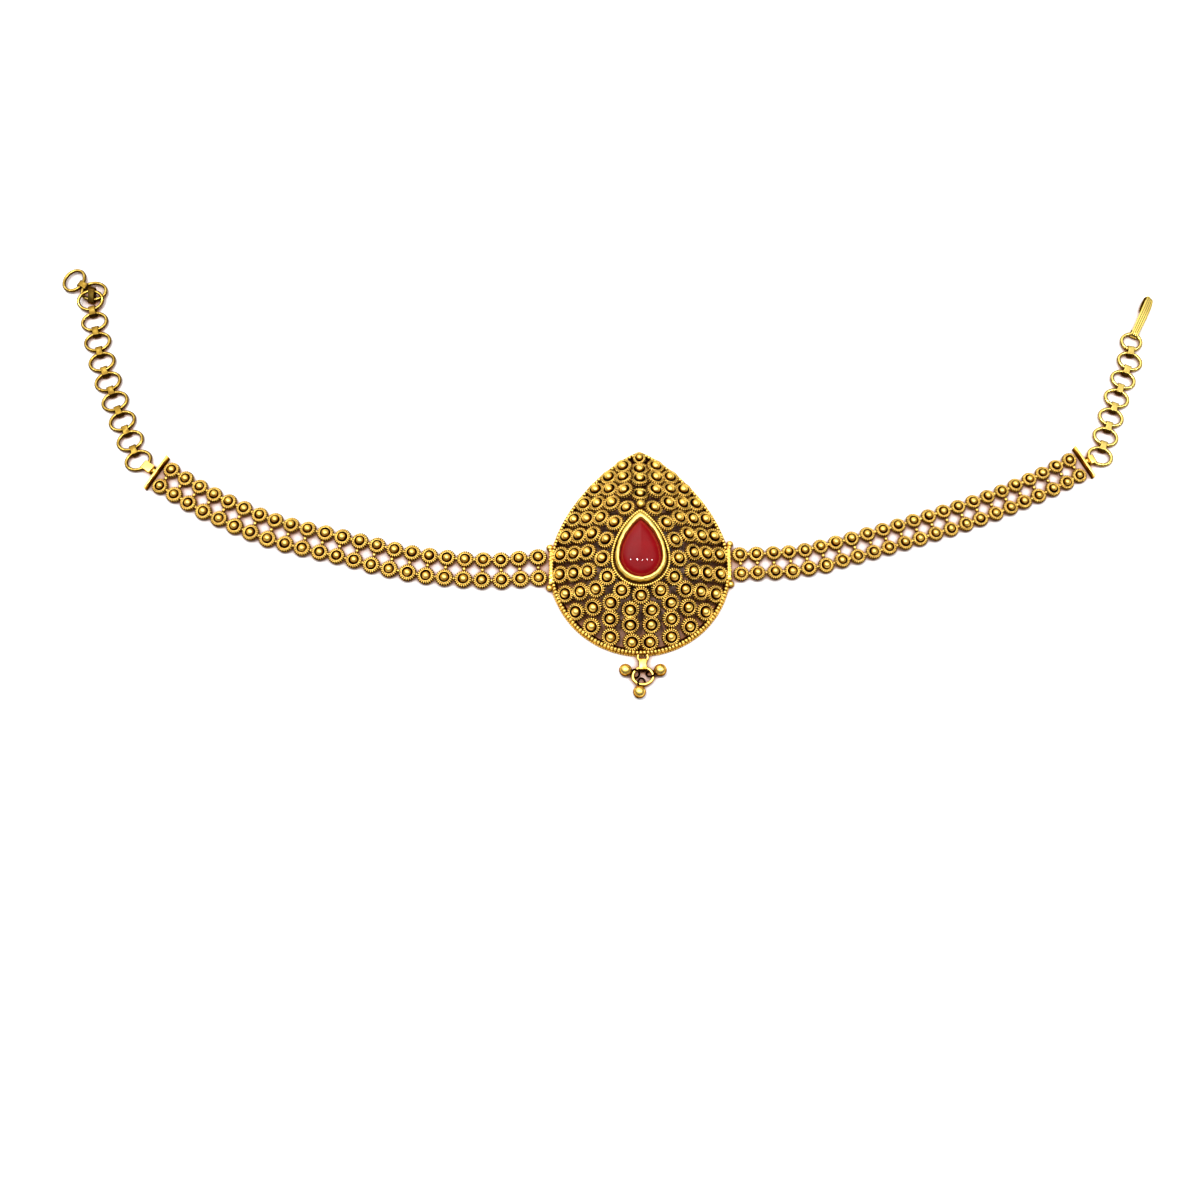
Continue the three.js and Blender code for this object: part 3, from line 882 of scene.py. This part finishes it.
# %% [markdown]
# ## Chains
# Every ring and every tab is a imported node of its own, so its place, its tilt and its size
# can be measured there. The three main directions of a node's points, found with a singular
# value decomposition, are the ring's long axis, its short axis and the way that it faces.
# Each fine ring is then a spun wire carried onto an oval and laid along those directions.
# A packed ring has ten sides with a corner at each end of its long axis, so its short axis
# measures too little, by the cosine of half a side's turn.

# %% Measuring a node
def measured(node):
    """A node's middle, its directions from long to short, the last upwards, and its spans."""
    points = np.array([vert.co for vert in frame["nodes"][node].data.vertices]) / MM
    middle = points.mean(axis=0)
    _, _, axes = np.linalg.svd(points - middle, full_matrices=False)
    spans = np.ptp((points - middle) @ axes.T, axis=0)
    if axes[2][2] < 0:
        axes[2] = -axes[2]
    return Vector(middle), [Vector(axis) for axis in axes], spans


ring_spans = measured("ring_left_1")[2]
print("first left ring:", [round(float(span), 2) for span in ring_spans], "mm")

# %% Oval rings
RING_SIDES = 10
RING_STEPS = 44
CHAIN_WIRE = 0.7
LAID_WIRE = 0.78
CHAIN_SHADES = {"left": 0.28, "right": 0.05}
TAB_SHADE = 0.15
PACKED_SIDES = 10
SHORT_AXIS = math.cos(math.pi / PACKED_SIDES)


def wire_ring(across, along, wire, shade=0.0):
    """A smooth ring of round wire, laid on an oval whose outer size is given."""
    line = oval(across - wire, along - wire)
    radius = line.length / (2 * math.pi)
    bm = lathe(round_section(radius, wire / 2, RING_SIDES), RING_STEPS, closed=True)
    follow(bm, line, radius)
    # Painted shade: the wire darkens from its top down its sides, plus the given shade all over.
    set_shade_and_tarnish(bm, lambda co: min(0.5, 0.7 - 1.2 * co.z / wire) + shade)
    mark_sharp(bm, WIRE_SHARP)
    return bm


def middle_line(node, packed_wire=CHAIN_WIRE):
    """A packed ring's middle, long axis and facing, and the two widths of its middle line."""
    middle, (long_axis, _, facing), spans = measured(node)
    across = spans[0] - packed_wire
    along = across * spans[1] / (spans[0] * SHORT_AXIS)
    return middle, long_axis, facing, across, along


def point_on_wire(node, towards, packed_wire=CHAIN_WIRE):
    """The point of a ring's middle line that lies in one direction from its middle."""
    middle, long_axis, facing, across, along = middle_line(node, packed_wire)
    short_axis = facing.cross(long_axis)
    reach = 0.5 / math.hypot(towards.dot(short_axis) / along, towards.dot(long_axis) / across)
    return middle + towards * reach


def laid_ring(node, wire, packed_wire=CHAIN_WIRE, shade=0.0):
    """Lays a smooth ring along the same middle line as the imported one."""
    middle, long_axis, facing, across, along = middle_line(node, packed_wire)
    bm = wire_ring(across + wire, along + wire, wire, shade)
    bmesh.ops.transform(bm, matrix=placed(middle, long_axis, facing), verts=bm.verts)
    return bm


ring_nodes = sorted(node for node in frame["nodes"] if node.startswith("ring_"))
for node in ring_nodes:
    bm = laid_ring(node, LAID_WIRE, shade=CHAIN_SHADES[node.split("_")[1]])
    piece(f"{node}_wire", bm, chain_gold, "pale_gold", node)

# %% [markdown]
# The tabs that join the rings are strips of sheet, folded into a flat loop round both
# wires. The loop's outline is drawn in six corners with two more in the middle, pushed
# sideways by extruding its edges, and given its thickness by solidify. The corners are
# bevelled last, because sheet can't bend to a sharp edge. The middle is drawn in a little.

# %% Folded tabs
STRIP = 0.25
SLANT = 0.7
FOLD = {"angle": 0.3, "radius": 0.06}


def loop_edges(bm, points):
    """Joins points into a closed line of edges."""
    verts = [bm.verts.new(point) for point in points]
    return [bm.edges.new((verts[i - 1], verts[i])) for i in range(len(verts))]


def extruded(bm, edges):
    """Extrudes edges on the spot, and returns the new edges and the new points."""
    made = bmesh.ops.extrude_edge_only(bm, edges=edges)["geom"]
    new_edges = [part for part in made if isinstance(part, bmesh.types.BMEdge)]
    return new_edges, [part for part in made if isinstance(part, bmesh.types.BMVert)]


def folded_strip(length, height, width, waist=0.8, shade=0.0):
    """A flat loop of sheet, seen from the side a hexagon, with its middle drawn in."""
    tip, top = length / 2, height / 2
    shoulder = tip - SLANT * top
    bm = bmesh.new()
    outline = [(tip, 0), (shoulder, top), (0, top), (-shoulder, top),
               (-tip, 0), (-shoulder, -top), (0, -top), (shoulder, -top)]
    edges = loop_edges(bm, [(x, -width / 2, z) for x, z in outline])
    far_points = extruded(bm, edges)[1]
    bmesh.ops.translate(bm, vec=(0, width, 0), verts=far_points)
    bmesh.ops.recalc_face_normals(bm, faces=bm.faces)
    for vert in bm.verts:
        if abs(vert.co.x) < 1e-6 and vert.co.z > 0:
            vert.co.y *= waist
    bmesh.ops.solidify(bm, geom=bm.faces[:], thickness=STRIP)
    folds = [edge for edge in bm.edges if edge.is_manifold
             and edge.calc_face_angle() > FOLD["angle"]]
    round_edges(bm, folds, FOLD["radius"])
    bmesh.ops.recalc_face_normals(bm, faces=bm.faces)
    # Tarnish inside the fold, and painted shade that darkens the strip towards its ends and lower
    # side.
    inside = top - 1.2 * STRIP
    set_shade_and_tarnish(bm, lambda co: 0.5 if abs(co.z) < inside and abs(co.x) < shoulder
               else 0.6 * (abs(co.x) / tip) ** 3 + 0.25 * (1 - co.z / top) + shade)
    mark_sharp(bm)
    return bm


def laid_strip(node, width=None, shade=0.0):
    """Lays a folded strip where a packed tab is."""
    middle, (long_axis, _, facing), spans = measured(node)
    bm = folded_strip(spans[0], spans[2], width or spans[1], shade=shade)
    bmesh.ops.transform(bm, matrix=placed(middle, long_axis, facing), verts=bm.verts)
    return bm


tab_nodes = sorted(node for node in frame["nodes"] if node.startswith("tab_"))
for node in tab_nodes:
    bm = laid_strip(node, shade=TAB_SHADE + CHAIN_SHADES[node.split("_")[1]])
    piece(f"{node}_strip", bm, chain_gold, "pale_gold", node)

# %% [markdown]
# ## End bars
# A thin strip stands across each band's end and takes the pull of the chain. A folded tab
# like the chains' own holds the first ring, and a short neck joins it to the bar. The bar
# is parallel to the last pair of cups, so that pair gives its direction.

# %% End bars
BAR = {"thickness": 0.45, "height": 1.9, "left": 8.6, "right": 7.8, "beyond_cups": 2.45}
BAR_TAB = {"start": 0.9, "past_wire": 0.95, "width": 1.9, "height": 1.44, "waist": 0.94}
NECK = {"size": (1.0, 0.9, 0.8), "reach": 0.65, "height": 0.75}
KNOB = {"radius": 0.5, "reach": 0.62, "height": 1.15}


def end_bar(side):
    """The bar beyond a band's last pair, with the tab, neck and knob that hold the chain."""
    upper, lower = band_pairs[side][-1]
    across = (upper - lower).normalized()
    before = band_pairs[side][-2]
    travel = (upper + lower - before[0] - before[1]).normalized()
    outward = (travel - across * travel.dot(across)).normalized()
    centre = (upper + lower) / 2 + outward * BAR["beyond_cups"]
    size = (BAR["thickness"], BAR[side], BAR["height"])
    bm = block(centre + UP * BAR["height"] / 2, outward, size)

    ring = f"ring_{side}_1"
    to_bar = (centre - measured(ring)[0]).normalized()
    axis = point_on_wire(ring, to_bar) - centre
    axis.z = 0
    near, far = BAR_TAB["start"], axis.length + BAR_TAB["past_wire"]
    axis.normalize()
    strip = folded_strip(far - near, BAR_TAB["height"], BAR_TAB["width"], BAR_TAB["waist"])
    middle = centre + axis * (far + near) / 2 + UP * BAR_TAB["height"] / 2
    stamp(bm, as_shape(strip), placed(middle, axis, UP))
    neck = block(centre + axis * NECK["reach"] + UP * NECK["height"], axis, NECK["size"])
    stamp(bm, as_shape(neck), HERE)
    knob = as_shape(granule(KNOB["radius"], rings=8, segments=12))
    stamp(bm, knob, Matrix.Translation(centre + axis * KNOB["reach"] + UP * KNOB["height"]))
    mark_sharp(bm)
    return bm


for side in ("left", "right"):
    piece(f"end_bar_{side}_strip", end_bar(side), antique_gold, "gold", f"end_bar_{side}")

# %% [markdown]
# ## Hook
# The hook is a ribbed strip bent twice: once round the last ring's wire and once under at
# its tip. A strip is best swept: its section is drawn once, extruded step by step, and each
# new copy is laid across the next point of a side view made of straight runs and arcs.

# %% Hook
HOOK = {"width": 1.6, "thickness": 0.4, "rib": 0.12, "ribs": 4, "length": 9.2,
        "flare": 0.35, "twist": 36, "lift": 0.5, "level": 0.72, "top": 1.3, "sag": 0.05,
        "bow": 0.12}
HOOK_BENDS = {"eye": 0.58, "tip": 0.5, "tip_height": 0.75, "steps": 10}
TIP_ROUNDING = {"start": 0.9, "over": 0.16, "narrowing": 0.35}


def arc(centre, radius, start, end, steps):
    """Points of an arc in the side view, angles in degrees."""
    angles = [math.radians(start + (end - start) * i / steps) for i in range(steps + 1)]
    return [(centre[0] + radius * math.cos(a), centre[1] + radius * math.sin(a)) for a in angles]


def sweep(section, path):
    """Extrudes a closed section along a side view of (length, height) points."""
    bm = bmesh.new()
    edges = loop_edges(bm, [(0, y, z) for y, z in section])
    order = list(dict.fromkeys(vert for edge in edges for vert in edge.verts))
    shape = [vert.co.copy() for vert in order]
    stations = []
    for index, (length, height) in enumerate(path):
        before, after = neighbours(path, index)
        lean = math.atan2(after[1] - before[1], after[0] - before[0])
        stations.append(Matrix.Translation((length, 0, height)) @ Matrix.Rotation(-lean, 4, "Y"))
    rings = [order]
    bmesh.ops.edgeloop_fill(bm, edges=edges)
    for _ in stations[1:]:
        edges, new = extruded(bm, edges)
        rings.append([next(edge.other_vert(vert) for edge in vert.link_edges
                           if edge.other_vert(vert) in new) for vert in rings[-1]])
    bmesh.ops.edgeloop_fill(bm, edges=edges)
    for ring, station in zip(rings, stations):
        for vert, co in zip(ring, shape):
            vert.co = station @ co
    bmesh.ops.recalc_face_normals(bm, faces=bm.faces)
    return bm


def ribbed_section():
    """The strip's section, with round ribs on its upper side."""
    width, thickness, rib, ribs = (HOOK[key] for key in ("width", "thickness", "rib", "ribs"))
    steps = 5 * ribs
    top = []
    for i in range(steps + 1):
        share = i / steps
        rise = abs(math.sin(math.pi * ribs * share))
        top.append((width * (share - 0.5), thickness / 2 - rib + rib * rise))
    return top + [(width / 2, -thickness / 2), (-width / 2, -thickness / 2)]


def hook_path():
    """The hook's side view: round the ring's wire, along the back, and under at the tip."""
    bend, steps = HOOK["length"], HOOK_BENDS["steps"]
    path = [(1.2, 0.14)]
    path += arc((0.0, HOOK["level"]), HOOK_BENDS["eye"], 270, 90, steps)
    for share in (0.15, 0.3, 0.45, 0.6, 0.75, 0.88):
        bow = HOOK["bow"] * math.sin(math.pi * share)
        path.append((share * bend, HOOK["top"] - HOOK["sag"] * share + bow))
    path += arc((bend, HOOK_BENDS["tip_height"]), HOOK_BENDS["tip"], 90, -90, steps)
    return path + [(bend - 1.5, 0.25), (bend - 3.2, 0.35)]


def hook():
    """The hook, widened, twisted and lifted more and more towards its rounded tip."""
    along = measured("hook")[1][0]
    if along.y < 0:
        along = -along
    along = Vector((along.x, along.y, 0)).normalized()
    bm = sweep(ribbed_section(), hook_path())
    # Painted shade: the strip is darker towards its underside.
    set_shade_and_tarnish(bm, lambda co: 0.9 - 0.75 * co.z)
    level = UP * HOOK["level"]
    for vert in bm.verts:
        way = vert.co.x / HOOK["length"]
        share = clamp(way)
        rounding = clamp((way - TIP_ROUNDING["start"]) / TIP_ROUNDING["over"])
        spread = (1 + HOOK["flare"] * share) * (1 - TIP_ROUNDING["narrowing"] * rounding**2)
        twist = Matrix.Rotation(math.radians(HOOK["twist"]) * share, 3, "X")
        wide = Vector((vert.co.x, vert.co.y * spread, vert.co.z))
        vert.co = twist @ (wide - level) + level * (1 + HOOK["lift"] * share)
    place = point_on_wire("ring_right_7", along)
    place.z = 0
    bmesh.ops.transform(bm, matrix=placed(place, along, UP), verts=bm.verts)
    mark_sharp(bm)
    return bm


piece("hook_strip", hook(), chain_gold, "pale_gold", "hook")

# %% [markdown]
# ## Drop
# Below the plaque's foot hangs a small drop: a soldered loop, a folded bail, a jump ring,
# and three balls with eyes of thin wire. They reuse the ring, the folded strip and the
# granule from above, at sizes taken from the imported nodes.

# %% Drop
LOOP = {"place": Vector((0.4, -21.1, 0.9)), "size": 2.62, "wire": 0.56}
BALL = {"radius": 1.33, "reach": 1.72}
EYE = {"size": 2.2, "wire": 0.45, "roll": 55, "inset": 0.4, "shade": 0.3}
PACKED_DROP_WIRE = 0.6
RING_WIRE = 0.75
BAIL_WIDTH = 1.7
HEADINGS = {"left": 162, "right": 18, "bottom": 258}

loop = wire_ring(LOOP["size"], LOOP["size"], LOOP["wire"])
bmesh.ops.translate(loop, vec=PLAQUE + LOOP["place"], verts=loop.verts)
piece("drop_loop", loop, antique_gold, "gold", "plaque")
bm = laid_ring("drop_ring", RING_WIRE, packed_wire=PACKED_DROP_WIRE, shade=0.05)
piece("drop_ring_wire", bm, antique_gold, "gold", "drop_ring")
bm = laid_strip("drop_bail", width=BAIL_WIDTH, shade=0.2)
piece("drop_bail_strip", bm, antique_gold, "gold", "drop_bail")


def hanging_ball(heading):
    """A ball on the drop ring and the eye that holds it, at a heading in degrees."""
    outward = Vector((math.cos(math.radians(heading)), math.sin(math.radians(heading)), 0))
    on_wire = point_on_wire("drop_ring", outward, PACKED_DROP_WIRE)
    centre = on_wire + outward * BALL["reach"]
    centre.z = BALL["radius"]
    bm = granule(BALL["radius"], rings=18, segments=28)
    bmesh.ops.translate(bm, vec=centre, verts=bm.verts)
    eye = wire_ring(EYE["size"], EYE["size"], EYE["wire"], EYE["shade"])
    facing = Matrix.Rotation(math.radians(EYE["roll"]), 3, outward) @ outward.cross(UP)
    place = placed(on_wire - outward * EYE["inset"], outward, facing)
    stamp(bm, as_shape(eye, WIRE_SHARP), place)
    mark_sharp(bm)
    return bm


for side, heading in HEADINGS.items():
    node = f"drop_ball_{side}"
    piece(f"{node}_and_eye", hanging_ball(heading), antique_gold, "gold", node)

# %% [markdown]
# ## Table and light
# A white table and a high, soft light keep the gold's own colours. Polished gold shows its
# surroundings more than its colour, so the sky is dim but for two soft windows. The wide
# one overhead gives each granule a bright middle between dark sides, and the one at the
# back left throws the short shadows. A row of small lamps overhead adds the sparkle, and
# gives the stone its row of highlights. Where the armlet lies close to the table, its colour
# is painted warm brown: a painted shadow that also stands in for the gold's light on it.

# %% Table
TABLE = 12.0
TABLE_GAP = 0.05
SHADE_REACH = 9
PAINTED_SHADOW, OPEN = (0.40, 0.14, 0.04, 1), (0.93, 0.93, 0.93, 1)


def table_material():
    """White, painted warm brown as a shadow where something within the reach of the shade is in
    the way.
    """
    made, tree, shader = new_material("table_white")
    crowded = add(tree, "ShaderNodeAmbientOcclusion", samples=8, Distance=SHADE_REACH * MM)
    openness = ramp(tree, crowded.outputs["AO"], 0.22, 0.72, interpolation_type="SMOOTHSTEP")
    feed(tree, shader, Base_Color=mix(tree, openness, PAINTED_SHADOW, OPEN), Roughness=0.8,
         Specular_IOR_Level=0.1)
    return made


bm = bmesh.new()
bmesh.ops.create_grid(bm, x_segments=1, y_segments=1, size=TABLE)
table = in_scene("table", to_mesh(bm, "table"))
table.data.materials.append(table_material())
table.location.z = cad_low.z - TABLE_GAP * MM
print("table laid at", round(table.location.z / MM, 2), "mm")

# %% Lamps
def lamp(name, place, power, size):
    """A square lamp that faces the plaque."""
    data = bpy.data.lights.new(name, "AREA")
    data.energy = power
    data.size = size
    made = in_scene(name, data)
    made.location = place
    towards = PLAQUE * MM - made.location
    made.rotation_euler = towards.to_track_quat("-Z", "Y").to_euler()


LAMP_DISTANCE = 0.9
LAMPS_BACK = math.radians(2)
LAMPS = [
    {"sideways": -33, "power": 1.0, "size": 0.035},
    {"sideways": -11, "power": 3.2, "size": 0.07},
    {"sideways": 6, "power": 1.0, "size": 0.045},
    {"sideways": 20, "power": 1.4, "size": 0.05},
    {"sideways": 37, "power": 1.1, "size": 0.045},
]
for number, row in enumerate(LAMPS, start=1):
    aside = math.radians(row["sideways"])
    way = Vector((math.sin(aside), math.sin(LAMPS_BACK) * math.cos(aside),
                  math.cos(LAMPS_BACK) * math.cos(aside)))
    lamp(f"lamp_{number}", PLAQUE * MM + way * LAMP_DISTANCE, row["power"], row["size"])

# %% Sky with two soft windows
DIM_SKY = 0.08
WINDOWS = {
    "overhead": {"towards": (0.0, 0.2, 1.0), "light": 1.2, "full": 35, "none": 60},
    "back left": {"towards": (-0.45, 0.6, 0.66), "light": 1.2, "full": 15, "none": 42},
}

sky = bpy.data.worlds.new("sky")
sky.use_nodes = True
bpy.context.scene.world = sky
tree = sky.node_tree
way = tree.nodes.new("ShaderNodeTexCoord").outputs["Generated"]
total = DIM_SKY
for window in WINDOWS.values():
    nearness = add(tree, "ShaderNodeVectorMath", operation="DOT_PRODUCT")
    plug(tree, way, nearness.inputs[0])
    plug(tree, Vector(window["towards"]).normalized(), nearness.inputs[1])
    none, full = (math.cos(math.radians(window[key])) for key in ("none", "full"))
    glow = ramp(tree, nearness.outputs["Value"], none, full, To_Max=window["light"],
                interpolation_type="SMOOTHSTEP")
    total = sums(tree, "ADD", total, glow)
feed(tree, tree.nodes["Background"], Color=(1, 1, 1, 1), Strength=total)
bpy.context.scene.view_settings.view_transform = "Standard"
print("sky with windows:", list(WINDOWS))
